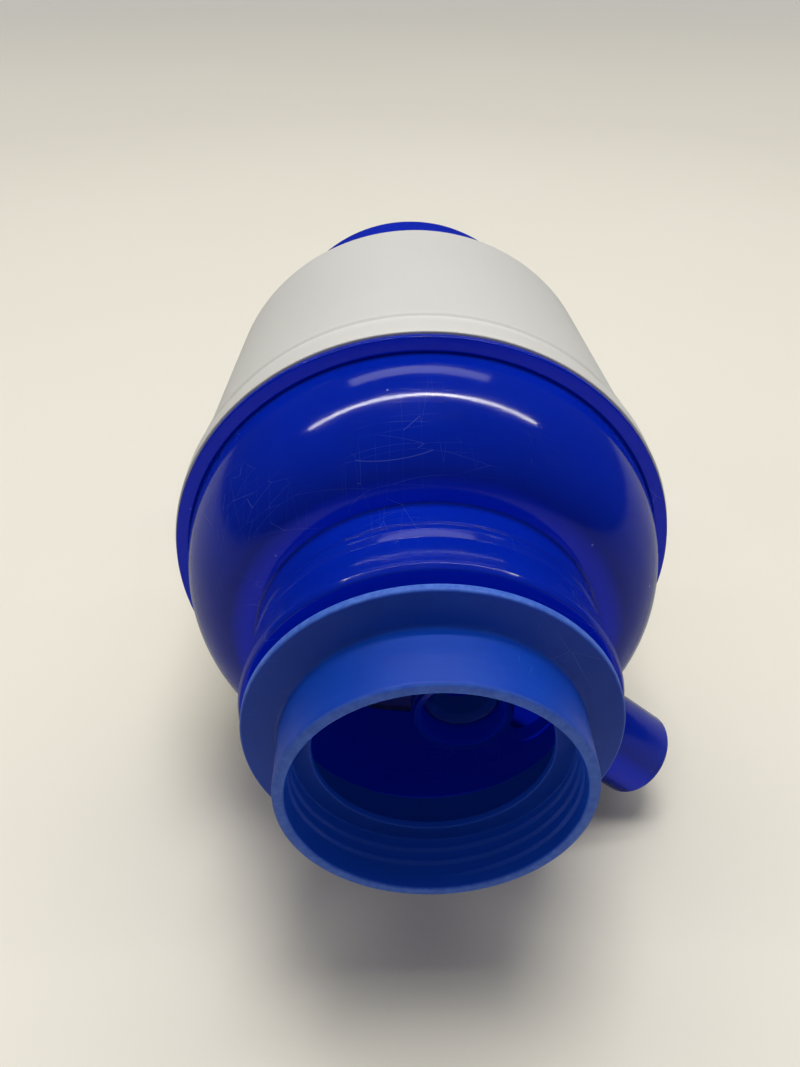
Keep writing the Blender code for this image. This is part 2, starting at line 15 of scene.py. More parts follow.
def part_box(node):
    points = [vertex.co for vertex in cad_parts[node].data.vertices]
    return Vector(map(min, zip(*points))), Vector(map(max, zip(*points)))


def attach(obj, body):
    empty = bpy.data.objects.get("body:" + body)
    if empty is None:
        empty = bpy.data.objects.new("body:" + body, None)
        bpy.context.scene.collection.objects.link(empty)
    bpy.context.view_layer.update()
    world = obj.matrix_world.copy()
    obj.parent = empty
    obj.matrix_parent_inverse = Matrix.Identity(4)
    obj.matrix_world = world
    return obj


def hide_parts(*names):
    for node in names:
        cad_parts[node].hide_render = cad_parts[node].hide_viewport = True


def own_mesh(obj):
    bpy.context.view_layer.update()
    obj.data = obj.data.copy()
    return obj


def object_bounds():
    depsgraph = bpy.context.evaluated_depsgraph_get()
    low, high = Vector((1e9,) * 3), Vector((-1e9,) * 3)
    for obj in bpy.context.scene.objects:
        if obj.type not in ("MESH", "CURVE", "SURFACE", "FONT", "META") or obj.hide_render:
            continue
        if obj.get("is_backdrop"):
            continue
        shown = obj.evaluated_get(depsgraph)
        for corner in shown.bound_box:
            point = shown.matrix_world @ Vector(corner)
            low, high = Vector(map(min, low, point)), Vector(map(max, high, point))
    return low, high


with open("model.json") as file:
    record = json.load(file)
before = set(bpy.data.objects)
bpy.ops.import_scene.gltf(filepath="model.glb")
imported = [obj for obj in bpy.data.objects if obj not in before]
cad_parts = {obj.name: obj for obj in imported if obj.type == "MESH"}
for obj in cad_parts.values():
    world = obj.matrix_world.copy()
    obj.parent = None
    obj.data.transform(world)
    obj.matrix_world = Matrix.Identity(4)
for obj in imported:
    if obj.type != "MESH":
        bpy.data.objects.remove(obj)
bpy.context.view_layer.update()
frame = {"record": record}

MM = 0.001
GAP = 0.3
FINE = 180                      # facets round a large piece
MEDIUM = 128
SMALL = 64
CORNER_STEPS = 5
SHARP_ANGLE = 40.0

shell_low, shell_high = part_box("housing_shell")
AXIS_X = (shell_low.x + shell_high.x) / 2.0
AXIS_Z = (shell_low.z + shell_high.z) / 2.0
RIM_OVERHANG = 1.0              # the adapter's rim stands this far in front of station 0
MOUTH_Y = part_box("neck_adapter")[0].y + RIM_OVERHANG * MM

# Features inside the boxes
SLEEVE_R = 31.0
BORE_R = 28.6
SHOULDER_R = 24.3
SHOULDER = (10.9, 12.5)
SPIGOT_R = 33.2
SPIGOT_BORE = 30.2
SPIGOT_JOIN = (17.0, 18.0)      # where the adapter's inside and outside outlines meet
BEAD_R = 34.7
BEAD_FRONT = 21.8
FLANGE = (13.6, 16.4)
THREAD_START = 2.2
THREAD_PITCH = 3.1
THREAD_TURNS = 2.5
THREAD_WIDTH = 1.7
THREAD_PROUD = 0.6
THREAD_FADE = 0.08              # turns over which the ridge starts and ends
THREAD_ROWS = 47                # mesh rows along the bore, fine enough to carry the ridge
THREAD_ROW_HEIGHT = 0.2
THREAD_STEPS = 240
COLLAR_BACK_R = 38.9
COLLAR_BORE = 35.5
NECK_SPIGOT_R = 35.1
NECK_STEP = 31.0
NECK_R = 38.2
NECK_TOP_R = 38.5
NECK_GROOVE = (34.4, 35.5)
NECK_BORE = SPIGOT_BORE + 2.0
NECK_FLARE = (32.0, 35.0)       # the neck's bore widens to NECK_FLARE_R between these stations
NECK_FLARE_R = 35.9
DOME_START = 42.2
DOME_FOOT_R = 38.9
DOME_R = 57.8
DOME_END = 71.0
LIP_FRONT = 71.6
LIP_CREASE = (71.2, 71.5)
LIP_BACK = 73.2
WALL = 2.4
UPSTAND_R = 59.0
UPSTAND_BORE = 57.0
SNAP_BEAD = (79.8, 80.6, 81.2)
SNAP_PROUD = 0.8
SKIRT_BACK = 79.3
SKIRT_BORE = 59.4
BARREL_R = 61.4
BARREL_TOP_R = 57.6
BARREL_END = 155.0
SHOULDER_ROUND = 7.6
HOUSING_WALL = 2.0
HOUSING_LEDGE_R = 55.2
LEDGE_DEPTH = 1.6
GUIDE_SEAT_R = 48.6
GUIDE_TUBE_R = 50.8
GUIDE_END = 149.0
GUIDE_STOP_R = 47.0
GUIDE_RING_BORE = 46.4
BUTTON_R = 46.0
BUTTON_WALL = 2.2
BUTTON_EDGE = 7.0
BUTTON_CROWN = 3.4
BUTTON_RIM_BACK = 148.7
BUTTON_LEDGE = 2.8
OUTLET_ANGLE = math.radians(40.7)
OUTLET_STATION = 51.2
OUTLET_REACH = 75.2
OUTLET_R = 11.2
OUTLET_BORE = 9.2
OUTLET_HOLE = (30.0, 64.0)
OUTLET_LIP = 0.5                # rounding of the tube's ends
OUTLET_LIP_STEPS = 4
GROMMET_BORE = 6.2
SOCKET_OFFSET = 9.6
BEND_R = 12.0
BOSS_R = 15.2
BOSS = (35.0, 50.0)
O_RING_GROOVE = (46.0, 48.8)
O_RING_GROOVE_R = 13.4
BELLOWS_IN_R = 33.0
BELLOWS_OUT_R = 41.0
BELLOWS_FOLDS = 6
BELLOWS_FLANGE = 1.6
BELLOWS_WALL = 1.4
FOLD_START = 2.5
BELLOWS_COLLAR = 13.0           # plain wall below the top flange, clear of the clamp ring when pressed
RIB_R = 19.5
RIB_HEIGHT = 2.5
RIB_WIDTH = 1.6
VALVE_PLATE = 3.0
UPPER_PLATE = 2.7
VALVE_DISC = 1.76
VALVE_BULB = 3.0
STEM_HOLE_R = 2.2
PORT_RING_R = 5.6
PORT_R = 1.5
PORT_COUNT = 6
SPRING_WIRE_R = 0.9
SPRING_R = 23.0
SPRING_TURNS = 7
SPRING_STEPS = 40               # per turn
VENT_STATION = 160.0
VENT_R = 1.6
VENT_COUNT = 4

# Painted glow that stands in for light soaking through the blue walls, painted glow on the far floor, and
# the room
PAINTED_INNER_GLOW = 0.045
MOUTH_DEPTH = MOUTH_Y + 12.0 * MM   # the glow is weaker behind this
FAR_FLOOR_LIGHT = 0.5           # how far the distant floor is lifted towards the backdrop
FLOOR_GLOW_SPAN = (0.8, 3.2)         # metres from the pump over which it is lifted
FLOOR_HALF_SIZE = 4.0
ROOM_LIGHT = 0.17
ROOM_REFLECTION = 0.03
BACKDROP_LIGHT = 0.62
LIGHTS = (                      # name, place, size, watts, colour, seen in reflections
    ("ceiling_tube", (0.0, 0.64, 1.8), (3.4, 0.06), 21.0, (1.0, 0.99, 0.97), True),
    ("overhead_wash", (0.05, 0.12, 1.7), (0.8, 0.5), 17.0, (1.0, 0.99, 0.97), False),
    ("rear_tube", (0.0, 1.55, 1.6), (1.7, 0.3), 2.4, (0.97, 0.97, 1.0), True),
    ("left_fill", (-1.5, -0.2, 0.9), (0.9, 0.9), 1.8, (1.0, 0.96, 0.88), False),
    ("right_fill", (1.5, -0.1, 0.9), (0.9, 0.9), 1.2, (0.92, 0.95, 1.0), False),
)
LIT_STATION = 90.0              # the lights point at this station of the axis

# Camera, fitted to the outlines in the photo
LENS = 30.37
SENSOR_WIDTH = 36.0
CAMERA_PLACE = (-8.73, -140.19, -108.23)
CAMERA_FORWARD = (0.01416, 0.80921, -0.58735)

BODY_OF = {node: body for body, nodes in frame["record"]["behaviour"]["bodies"].items() for node in nodes}
SLOT_OF = {row["node"]: row["material_slot"] for row in frame["record"]["subparts"]}


def extent(node):
    """Front station, back station and outer radius of a turned node, in millimetres."""
    low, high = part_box(node)
    return (low.y - MOUTH_Y) / MM, (high.y - MOUTH_Y) / MM, (high.x - low.x) / 2.0 / MM


def point(right, down, station):
    """A world position from millimetres across, below and along the axis."""
    return Vector((AXIS_X + right * MM, MOUTH_Y + station * MM, AXIS_Z - down * MM))


def toward_outlet(distance, station):
    return point(distance * math.cos(OUTLET_ANGLE), distance * math.sin(OUTLET_ANGLE), station)


# ---------------------------------------------------------------- mesh helpers

def rounded(points, closed=True):
    """The outline with each corner replaced by a short curve that is tangent to both its sides."""
    result = []
    count = len(points)
    for i, (radius, station, corner) in enumerate(points):
        here = Vector((radius, station))
        inner = closed or 0 < i < count - 1
        if corner <= 0.0 or not inner:
            result.append((radius, station))
            continue
        before = Vector(points[i - 1][:2]) - here
        after = Vector(points[(i + 1) % count][:2]) - here
        half = before.angle(after) / 2.0
        reach = min(corner / math.tan(half), 0.49 * before.length, 0.49 * after.length)
        start = here + before.normalized() * reach
        end = here + after.normalized() * reach
        for step in range(CORNER_STEPS + 1):
            t = step / CORNER_STEPS
            spot = start * (1 - t) ** 2 + here * 2 * t * (1 - t) + end * t ** 2
            result.append((spot.x, spot.y))
    return result


def arc(centre, radii, start, end, count):
    """Sharp points on an ellipse arc, as (radius, station, corner), with angles in degrees."""
    points = []
    for i in range(count + 1):
        a = math.radians(start + (end - start) * i / count)
        points.append((centre[0] + radii[0] * math.cos(a), centre[1] + radii[1] * math.sin(a), 0.0))
    return points


def finished(name, bm):
    """A smooth-shaded object from a bmesh, with edges over the sharp angle left sharp."""
    bmesh.ops.remove_doubles(bm, verts=bm.verts, dist=0.000002)
    bmesh.ops.recalc_face_normals(bm, faces=bm.faces)
    mesh = bpy.data.meshes.new(name)
    bm.to_mesh(mesh)
    bm.free()
    mesh.shade_smooth()
    mesh.set_sharp_from_angle(angle=math.radians(SHARP_ANGLE))
    obj = bpy.data.objects.new(name, mesh)
    bpy.context.scene.collection.objects.link(obj)
    return obj


def turned(name, outline, steps=FINE, closed=True, shape=None):
    """A turned piece from a finished outline of (radius, station)."""
    bm = bmesh.new()
    verts = [bm.verts.new((AXIS_X + r * MM, MOUTH_Y + s * MM, AXIS_Z)) for r, s in outline]
    edges = [bm.edges.new((a, b)) for a, b in zip(verts, verts[1:])]
    if closed:
        edges.append(bm.edges.new((verts[-1], verts[0])))
    bmesh.ops.spin(bm, geom=verts + edges, cent=(AXIS_X, 0.0, AXIS_Z), axis=(0.0, 1.0, 0.0),
                   angle=2.0 * math.pi, steps=steps, use_merge=True, use_duplicate=False)
    if shape:
        shape(bm)
    return finished(name, bm)


def rod(name, radius, start, end, steps=SMALL):
    """A capped cylinder between two world points."""
    bm = bmesh.new()
    direction = end - start
    turn = direction.to_track_quat("Z", "Y").to_matrix().to_4x4()
    place = Matrix.Translation((start + end) / 2.0) @ turn
    bmesh.ops.create_cone(bm, cap_ends=True, segments=steps, radius1=radius * MM, radius2=radius * MM,
                          depth=direction.length, matrix=place)
    return finished(name, bm)


def combine(obj, tool, operation):
    """Boolean union or difference with a tool, which is then removed."""
    mod = obj.modifiers.new("cut", "BOOLEAN")
    mod.operation = operation
    mod.object = tool
    bpy.context.view_layer.update()
    evaluated = obj.evaluated_get(bpy.context.evaluated_depsgraph_get())
    mesh = bpy.data.meshes.new_from_object(evaluated)
    obj.modifiers.clear()
    obj.data = mesh
    bpy.data.objects.remove(tool)
    mesh.shade_smooth()
    mesh.set_sharp_from_angle(angle=math.radians(SHARP_ANGLE))


def swept(name, path, rings, sides=SMALL):
    """A tube along a path: rings lists (index along the path, radius in mm), in order, and is closed."""
    count = len(path)
    normal = Vector((0.0, 0.0, 1.0)) if abs((path[1] - path[0]).normalized().z) < 0.9 else Vector((1, 0, 0))
    frames = []
    for i, spot in enumerate(path):
        ahead = (path[min(i + 1, count - 1)] - path[max(i - 1, 0)]).normalized()
        normal = (normal - ahead * normal.dot(ahead)).normalized()
        frames.append((spot, normal, ahead.cross(normal)))
    bm = bmesh.new()
    loops = []
    for index, radius in rings:
        spot, first, second = frames[index]
        loop = []
        for k in range(sides):
            a = 2.0 * math.pi * k / sides
            loop.append(bm.verts.new(spot + (first * math.cos(a) + second * math.sin(a)) * radius * MM))
        loops.append(loop)
    for here, there in zip(loops, loops[1:] + loops[:1]):
        for k in range(sides):
            bm.faces.new((here[k], here[(k + 1) % sides], there[(k + 1) % sides], there[k]))
    return finished(name, bm)


def dress(obj, node, finishes):
    """Makes a piece stand for its CAD node: its body, its slot and its material."""
    obj.data.materials.clear()
    obj.data.materials.append(finishes[SLOT_OF[node]])
    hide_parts(node)
    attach(obj, BODY_OF[node])
    return obj


# ---------------------------------------------------------------- materials

class Paint:
    """A Principled material and short ways to add nodes to it."""

    def __init__(self, name, roughness, metallic=0.0):
        self.mat = bpy.data.materials.new(name)
        self.mat.use_nodes = True
        self.nodes = self.mat.node_tree.nodes
        self.links = self.mat.node_tree.links
        self.shader = self.nodes["Principled BSDF"]
        self.shader.inputs["Metallic"].default_value = metallic
        self.shader.inputs["Roughness"].default_value = roughness
        self.coords = self.nodes.new("ShaderNodeTexCoord").outputs["Object"]

    def add(self, kind, inputs=None, **settings):
        node = self.nodes.new(kind)
        for key, value in settings.items():
            setattr(node, key, value)
        for key, value in (inputs or {}).items():
            if isinstance(value, bpy.types.NodeSocket):
                self.links.new(value, node.inputs[key])
            else:
                node.inputs[key].default_value = value
        return node

    def glow(self, weight, reach):
        """Light that soaks through thin walls, reach metres deep in red, green and blue."""
        self.shader.inputs["Subsurface Weight"].default_value = weight
        self.shader.inputs["Subsurface Radius"].default_value = reach
        self.shader.inputs["Subsurface Scale"].default_value = 1.0

    def across(self):
        """The vector from the pump's axis to the shaded point."""
        from_axis = self.add("ShaderNodeVectorMath", {0: self.coords, 1: (AXIS_X, 0.0, AXIS_Z)},
                             operation="SUBTRACT").outputs[0]
        return self.add("ShaderNodeVectorMath", {0: from_axis, 1: (1.0, 0.0, 1.0)},
                        operation="MULTIPLY").outputs[0]

    def length(self, vector):
        return self.add("ShaderNodeVectorMath", {0: vector}, operation="LENGTH").outputs["Value"]

    def painted_glow(self, colour, strength, edge=0.0, depth=None):
        """Painted glow: emission that stands in for light soaked through the walls, given off only by faces
        that look at the axis.

        Rims that look out of the mouth give off edge times as much.  With depth, a world Y, the glow
        is weaker behind it.
        """
        across = self.across()
        radial = self.add("ShaderNodeVectorMath", {0: across}, operation="NORMALIZE").outputs[0]
        normal = self.nodes.new("ShaderNodeNewGeometry").outputs["Normal"]
        facing = self.add("ShaderNodeVectorMath", {0: radial, 1: normal},
                          operation="DOT_PRODUCT").outputs["Value"]
        toward_mouth = self.add("ShaderNodeVectorMath", {0: normal, 1: (0.0, -1.0, 0.0)},
                                operation="DOT_PRODUCT").outputs["Value"]
        painted_rim_glow = self.math("MULTIPLY", self.ramp(toward_mouth, 0.9, 0.99, 0.0, strength * edge),
                         self.ramp(self.length(across), SHOULDER_R * MM, BORE_R * MM))
        glow = self.math("MAXIMUM", self.ramp(facing, -0.25, 0.05, strength, 0.0), painted_rim_glow)
        if depth is not None:
            along = self.add("ShaderNodeSeparateXYZ", {0: self.coords}).outputs["Y"]
            glow = self.math("MULTIPLY", glow, self.ramp(along, depth, depth + 4.0 * MM, 1.0, 0.5))
        self.shader.inputs["Emission Color"].default_value = (*colour, 1.0)
        self.links.new(glow, self.shader.inputs["Emission Strength"])

    def noise(self, scale, detail=3.0, rough=0.55, stretch=None):
        vector = self.coords
        if stretch:
            vector = self.add("ShaderNodeMapping", {"Vector": vector, "Scale": stretch}).outputs[0]
        return self.add("ShaderNodeTexNoise", {"Vector": vector, "Scale": scale, "Detail": detail,
                                               "Roughness": rough}).outputs["Fac"]

    def ramp(self, value, low, high, to_low=0.0, to_high=1.0):
        """Maps low..high of a value to to_low..to_high, clamped."""
        return self.add("ShaderNodeMapRange", {"Value": value, "From Min": low, "From Max": high,
                                               "To Min": to_low, "To Max": to_high}).outputs[0]

    def math(self, operation, a, b):
        return self.add("ShaderNodeMath", {0: a, 1: b}, operation=operation).outputs[0]

    def mix(self, factor, first, second):
        """A blend of two colours, each a triple or a socket."""
        node = self.nodes.new("ShaderNodeMix")
        node.data_type = "RGBA"
        for index, value in ((0, factor), (6, first), (7, second)):
            if isinstance(value, bpy.types.NodeSocket):
                self.links.new(value, node.inputs[index])
            elif index == 0:
                node.inputs[index].default_value = value
            else:
                node.inputs[index].default_value = (*value, 1.0)
        return node.outputs[2]

    def scratches(self, scale, stretch, turn, width, keep):
        """Thin broken lines: edges of long cells, shown only where a soft noise is high."""
        vector = self.add("ShaderNodeMapping", {"Vector": self.coords, "Scale": stretch,
                                                "Rotation": turn}).outputs[0]
        cells = self.add("ShaderNodeTexVoronoi", {"Vector": vector, "Scale": scale, "Randomness": 1.0},
                         feature="DISTANCE_TO_EDGE").outputs["Distance"]
        line = self.ramp(cells, 0.0, width, 1.0, 0.0)
        where = self.ramp(self.noise(38.0, 2.0), keep, keep + 0.06)
        return self.math("MULTIPLY", line, where)

    def specks(self, scale, size, keep):
        """Small round dots, on the share of cells above keep."""
        cells = self.add("ShaderNodeTexVoronoi", {"Vector": self.coords, "Scale": scale})
        dot = self.ramp(cells.outputs["Distance"], size * 0.5, size, 1.0, 0.0)
        chance = self.add("ShaderNodeSeparateColor", {"Color": cells.outputs["Color"]}).outputs[0]
        chosen = self.ramp(chance, keep, keep + 0.01)
        return self.math("MULTIPLY", dot, chosen)

    def bump(self, height, strength, distance, under=None):
        inputs = {"Height": height, "Strength": strength, "Distance": distance}
        if under:
            inputs["Normal"] = under
        return self.add("ShaderNodeBump", inputs).outputs[0]

    def finish(self, colour=None, roughness=None, normal=None):
        for key, value in (("Base Color", colour), ("Roughness", roughness), ("Normal", normal)):
            if isinstance(value, bpy.types.NodeSocket):
                self.links.new(value, self.shader.inputs[key])
            elif isinstance(value, tuple):
                self.shader.inputs[key].default_value = (*value, 1.0)
        return self.mat


def tint(colour, share):
    return tuple(min(1.0, c * share) for c in colour)


def gloss_blue(name, colour, roughness):
    """Polished ABS with a faint orange peel, hairline scratches, rubbed patches and dust, and a painted glow
    on faces that look at the axis.
    """
    p = Paint(name, roughness)
    p.glow(0.35, (0.0006, 0.0016, 0.005))
    # Painted glow: emission on faces that look at the axis and, 3.2 times stronger, on rims that look out of
    # the mouth.
    p.painted_glow((0.0, 0.02, 1.0), PAINTED_INNER_GLOW, 3.2)
    p.shader.inputs["Specular IOR Level"].default_value = 0.4
    cloud = p.noise(22.0, 4.0)
    body = p.mix(p.ramp(cloud, 0.35, 0.65), tint(colour, 0.9), tint(colour, 1.1))
    fine = p.mix(p.math("MULTIPLY", p.noise(900.0, 2.0), 0.1), body, tint(colour, 1.3))
    lines = p.math("MAXIMUM",
                   p.scratches(34.0, (1.0, 12.0, 2.0), (0.3, 0.5, 0.9), 0.005, 0.55),
                   p.scratches(30.0, (10.0, 1.0, 1.5), (0.8, 0.1, 0.4), 0.005, 0.57))
    dust = p.specks(420.0, 0.14, 0.965)
    scratched = p.mix(p.math("MULTIPLY", lines, 0.2), fine, (0.16, 0.22, 0.62))
    dusty = p.mix(p.math("MULTIPLY", dust, 0.35), scratched, (0.25, 0.33, 0.7))
    worn = p.ramp(p.noise(55.0, 5.0, 0.65), 0.42, 0.7, roughness * 0.8, roughness * 1.4)
    rough = p.math("ADD", worn, p.math("MULTIPLY", p.math("MAXIMUM", lines, dust), 0.25))
    peel = p.bump(p.noise(260.0, 2.0), 0.03, 0.0004)
    return p.finish(dusty, rough, p.bump(lines, 0.08, 0.0001, peel))


def soft_blue():
    """Flexible polyethylene: satin, faintly mottled, with flow lines, and a paler rim and flange edge that
    are a painted highlight broken up by nicks; painted shade deeper inside and a painted glow on faces that
    look at the axis.
    """
    colour = (0.002, 0.042, 0.36)
    p = Paint("adapter_polyethylene", 0.42)
    p.glow(0.3, (0.0008, 0.0018, 0.004))
    # Painted glow: emission on faces that look at the axis and on rims that look out of the mouth, weaker
    # behind MOUTH_DEPTH.
    p.painted_glow((0.008, 0.12, 1.0), PAINTED_INNER_GLOW * 1.1, 0.6, MOUTH_DEPTH)
    p.shader.inputs["Specular IOR Level"].default_value = 0.3
    depth = p.add("ShaderNodeSeparateXYZ", {0: p.coords}).outputs["Y"]
    cloud = p.noise(30.0, 5.0, 0.6)
    flow = p.noise(14.0, 3.0, 0.6, (1.0, 14.0, 1.0))
    body = p.mix(p.ramp(cloud, 0.3, 0.7), tint(colour, 0.86), tint(colour, 1.14))
    streaked = p.mix(p.ramp(flow, 0.45, 0.75, 0.0, 0.3), body, (0.012, 0.065, 0.42))
    # The paler rim and flange edge are a painted highlight, broken up by the nicks; rim, rubbed and pale
    # carry this painted highlight.
    nicks = p.ramp(p.noise(700.0, 3.0, 0.6), 0.4, 0.7, 0.55, 1.0)
    rim = p.math("MULTIPLY", p.ramp(depth, MOUTH_Y - 1.0 * MM, MOUTH_Y - 0.4 * MM, 0.75, 0.0), nicks)
    flange_r = extent("neck_adapter")[2] * MM
    flange_highlight = p.ramp(p.length(p.across()), flange_r - 0.5 * MM, flange_r - 0.1 * MM, 0.0, 0.7)
    rubbed = p.math("MAXIMUM", rim, p.math("MULTIPLY", flange_highlight, nicks))
    pale = p.mix(rubbed, streaked, (0.10, 0.22, 0.66))
    scuffs = p.scratches(36.0, (1.0, 12.0, 1.5), (0.4, 0.2, 0.7), 0.005, 0.6)
    chalk = p.math("MULTIPLY", p.ramp(p.noise(340.0, 4.0, 0.7), 0.62, 0.72), p.ramp(cloud, 0.5, 0.62))
    marks = p.math("MAXIMUM", p.math("MULTIPLY", scuffs, 0.2), p.math("MULTIPLY", chalk, 0.12))
    worn = p.mix(marks, pale, (0.2, 0.3, 0.66))
    # Painted shade: the blue is darkened deeper inside, beyond 14 to 18 mm behind MOUTH_DEPTH, so worn from
    # here on carries painted shade as well as wear.
    behind = p.ramp(depth, MOUTH_DEPTH + 14.0 * MM, MOUTH_DEPTH + 18.0 * MM)
    worn = p.mix(behind, worn, (0.0008, 0.010, 0.22))
    rough = p.ramp(p.noise(70.0, 4.0), 0.35, 0.7, 0.34, 0.5)
    grain = p.bump(p.noise(1500.0, 2.0), 0.08, 0.0002)
    waves = p.bump(flow, 0.08, 0.0006, grain)
    return p.finish(worn, rough, p.bump(scuffs, 0.15, 0.0001, waves))


def glossy_white():
    """White ABS, barely warm, with a soft sheen, a faint cloudiness and a few dark specks."""
    colour = (0.635, 0.625, 0.60)
    p = Paint("housing_abs", 0.3)
    cloud = p.noise(16.0, 4.0)
    body = p.mix(p.ramp(cloud, 0.3, 0.7), tint(colour, 0.98), tint(colour, 1.01))
    draw = p.noise(260.0, 3.0, 0.6, (1.0, 0.05, 1.0))
    rubbed = p.mix(p.ramp(draw, 0.5, 0.8, 0.0, 0.08), body, (0.5, 0.5, 0.51))
    dark = p.math("MULTIPLY", p.specks(300.0, 0.10, 0.985), 0.35)
    speckled = p.mix(dark, rubbed, (0.25, 0.22, 0.18))
    rough = p.ramp(p.noise(24.0, 2.0), 0.2, 0.8, 0.33, 0.38)
    grain = p.bump(p.noise(700.0, 2.0), 0.03, 0.0003)
    return p.finish(speckled, rough, grain)


def moulded_white(name, colour, roughness, translucent=0.0):
    """Unpolished inner plastic or rubber, with a fine grain and slow shade changes."""
    p = Paint(name, roughness)
    p.glow(translucent, (0.004, 0.004, 0.003))
    cloud = p.noise(45.0, 4.0)
    body = p.mix(p.ramp(cloud, 0.3, 0.7), tint(colour, 0.93), tint(colour, 1.04))
    dusty = p.mix(p.math("MULTIPLY", p.specks(500.0, 0.18, 0.9), 0.25), body, tint(colour, 0.55))
    rough = p.ramp(p.noise(120.0, 3.0), 0.3, 0.7, roughness * 0.85, min(1.0, roughness * 1.15))
    return p.finish(dusty, rough, p.bump(p.noise(1200.0, 2.0), 0.12, 0.0002))


def drawn_steel():
    """Bright spring wire with fine lines along its length and a touch of oil stain."""
    p = Paint("spring_wire", 0.25, metallic=1.0)
    stain = p.noise(160.0, 4.0, 0.6)
    body = p.mix(p.ramp(stain, 0.4, 0.7), (0.62, 0.61, 0.59), (0.44, 0.41, 0.37))
    rough = p.ramp(p.noise(900.0, 3.0), 0.3, 0.7, 0.18, 0.36)
    return p.finish(body, rough, p.bump(p.noise(2500.0, 2.0), 0.08, 0.0001))


def floor_finish():
    """A pale laminate table top with hardly any pattern; it is painted darker where it is seen in
    reflections, and a painted glow lifts it towards the backdrop far from the pump.
    """
    p = Paint("table_top", 0.5)
    cloud = p.noise(2.5, 4.0)
    body = p.mix(p.ramp(cloud, 0.3, 0.7), (0.73, 0.70, 0.61), (0.75, 0.72, 0.635))
    rays = p.nodes.new("ShaderNodeLightPath").outputs
    # Painted reflection: the floor is darker where it is seen in glossy reflections than where the camera
    # sees it.
    body = p.mix(rays["Is Glossy Ray"], body, (0.30, 0.30, 0.28))
    # Painted glow: emission, seen only by the camera, that brightens the floor with distance from the pump.
    far_floor_glow = p.ramp(p.length(p.coords), *FLOOR_GLOW_SPAN, 0.0, FAR_FLOOR_LIGHT)
    p.shader.inputs["Emission Color"].default_value = (1.0, 0.99, 0.96, 1.0)
    p.links.new(p.math("MULTIPLY", far_floor_glow, rays["Is Camera Ray"]), p.shader.inputs["Emission Strength"])
    return p.finish(body, None, p.bump(p.noise(900.0, 2.0), 0.03, 0.0002))


def all_finishes():
    return {
        "bowl_blue": gloss_blue("bowl_abs", (0.0008, 0.014, 0.33), 0.10),
        "button_blue": gloss_blue("button_abs", (0.0015, 0.016, 0.42), 0.15),
        "adapter_blue": soft_blue(),
        "housing_white": glossy_white(),
        "inner_white": moulded_white("inner_polypropylene", (0.70, 0.70, 0.68), 0.45),
        "bellows_white": moulded_white("bellows_rubber", (0.78, 0.78, 0.75), 0.55, 0.15),
        "silicone": moulded_white("valve_silicone", (0.75, 0.75, 0.72), 0.45, 0.2),
        "rubber_grey": moulded_white("sealing_rubber", (0.33, 0.33, 0.33), 0.7),
        "rubber_black": moulded_white("o_ring_rubber", (0.022, 0.022, 0.024), 0.62),
        "spring_steel": drawn_steel(),
    }


# ---------------------------------------------------------------- the pump's pieces

def thread(bm):
    """Raises the helical ridge on the wall of the adapter's bore."""
    for vert in bm.verts:
        across = vert.co.x - AXIS_X
        up = vert.co.z - AXIS_Z
        radius = math.hypot(across, up) / MM
        station = (vert.co.y - MOUTH_Y) / MM
        if abs(radius - BORE_R) > 0.02 or not 0.5 < station < SHOULDER[0] - 0.6:
            continue
        first = (math.atan2(up, across) + math.pi / 2.0) / (2.0 * math.pi) % 1.0
        height = 0.0
        for turn in range(int(THREAD_TURNS) + 1):
            along = first + turn
            away = abs(station - THREAD_START - THREAD_PITCH * along) / (THREAD_WIDTH / 2.0)
            if away < 1.0 and along < THREAD_TURNS:
                fade = min(1.0, along / THREAD_FADE, (THREAD_TURNS - along) / THREAD_FADE)
                height = max(height, fade * (0.5 + 0.5 * math.cos(math.pi * away)))
        scale = (radius - THREAD_PROUD * height) / radius
        vert.co.x = AXIS_X + across * scale
        vert.co.z = AXIS_Z + up * scale


def neck_adapter(finishes):
    front, back, flange_r = extent("neck_adapter")
    outside = rounded([
        (SPIGOT_BORE, SPIGOT_JOIN[1], 0.0), (SPIGOT_BORE, back, 0.3), (BEAD_R, back, 0.4),
        (BEAD_R, BEAD_FRONT, 0.3), (SPIGOT_R, BEAD_FRONT, 0.2), (SPIGOT_R, FLANGE[1], 0.2),
        (flange_r, FLANGE[1], 0.5),
        (flange_r, FLANGE[0] + 0.9, 0.7), (SLEEVE_R, FLANGE[0] - 0.3, 1.4), (SLEEVE_R, front, 0.9),
        (BORE_R, front, 0.6), (BORE_R, 0.4, 0.0)], closed=False)
    bore = [(BORE_R, 0.6 + THREAD_ROW_HEIGHT * i) for i in range(THREAD_ROWS)]
    inside = rounded([
        (BORE_R, SHOULDER[0] - 0.8, 0.0), (BORE_R, SHOULDER[0], 0.6), (SHOULDER_R, SHOULDER[0], 0.4),
        (SHOULDER_R, SHOULDER[1], 0.4), (SPIGOT_BORE, SHOULDER[1], 1.0),
        (SPIGOT_BORE, SPIGOT_JOIN[0], 0.0)], closed=False)
    adapter = turned("adapter_fine", outside + bore + inside, THREAD_STEPS, shape=thread)
    return dress(adapter, "neck_adapter", finishes)


def collar_ring(finishes):
    front, back, outer = extent("collar_ring")
    outline = [
        (COLLAR_BORE, back, 0.3), (COLLAR_BACK_R, back, 0.7), (outer - 0.15, front + 2.4, 0.4),
        (outer, front + 1.4, 0.5), (outer - 0.5, front, 0.5), (SPIGOT_R + 0.4, front, 0.4),
        (SPIGOT_R + 0.4, front + 2.0, 0.2), (COLLAR_BORE, front + 2.0, 0.2)]
    return dress(turned("collar_fine", rounded(outline)), "collar_ring", finishes)


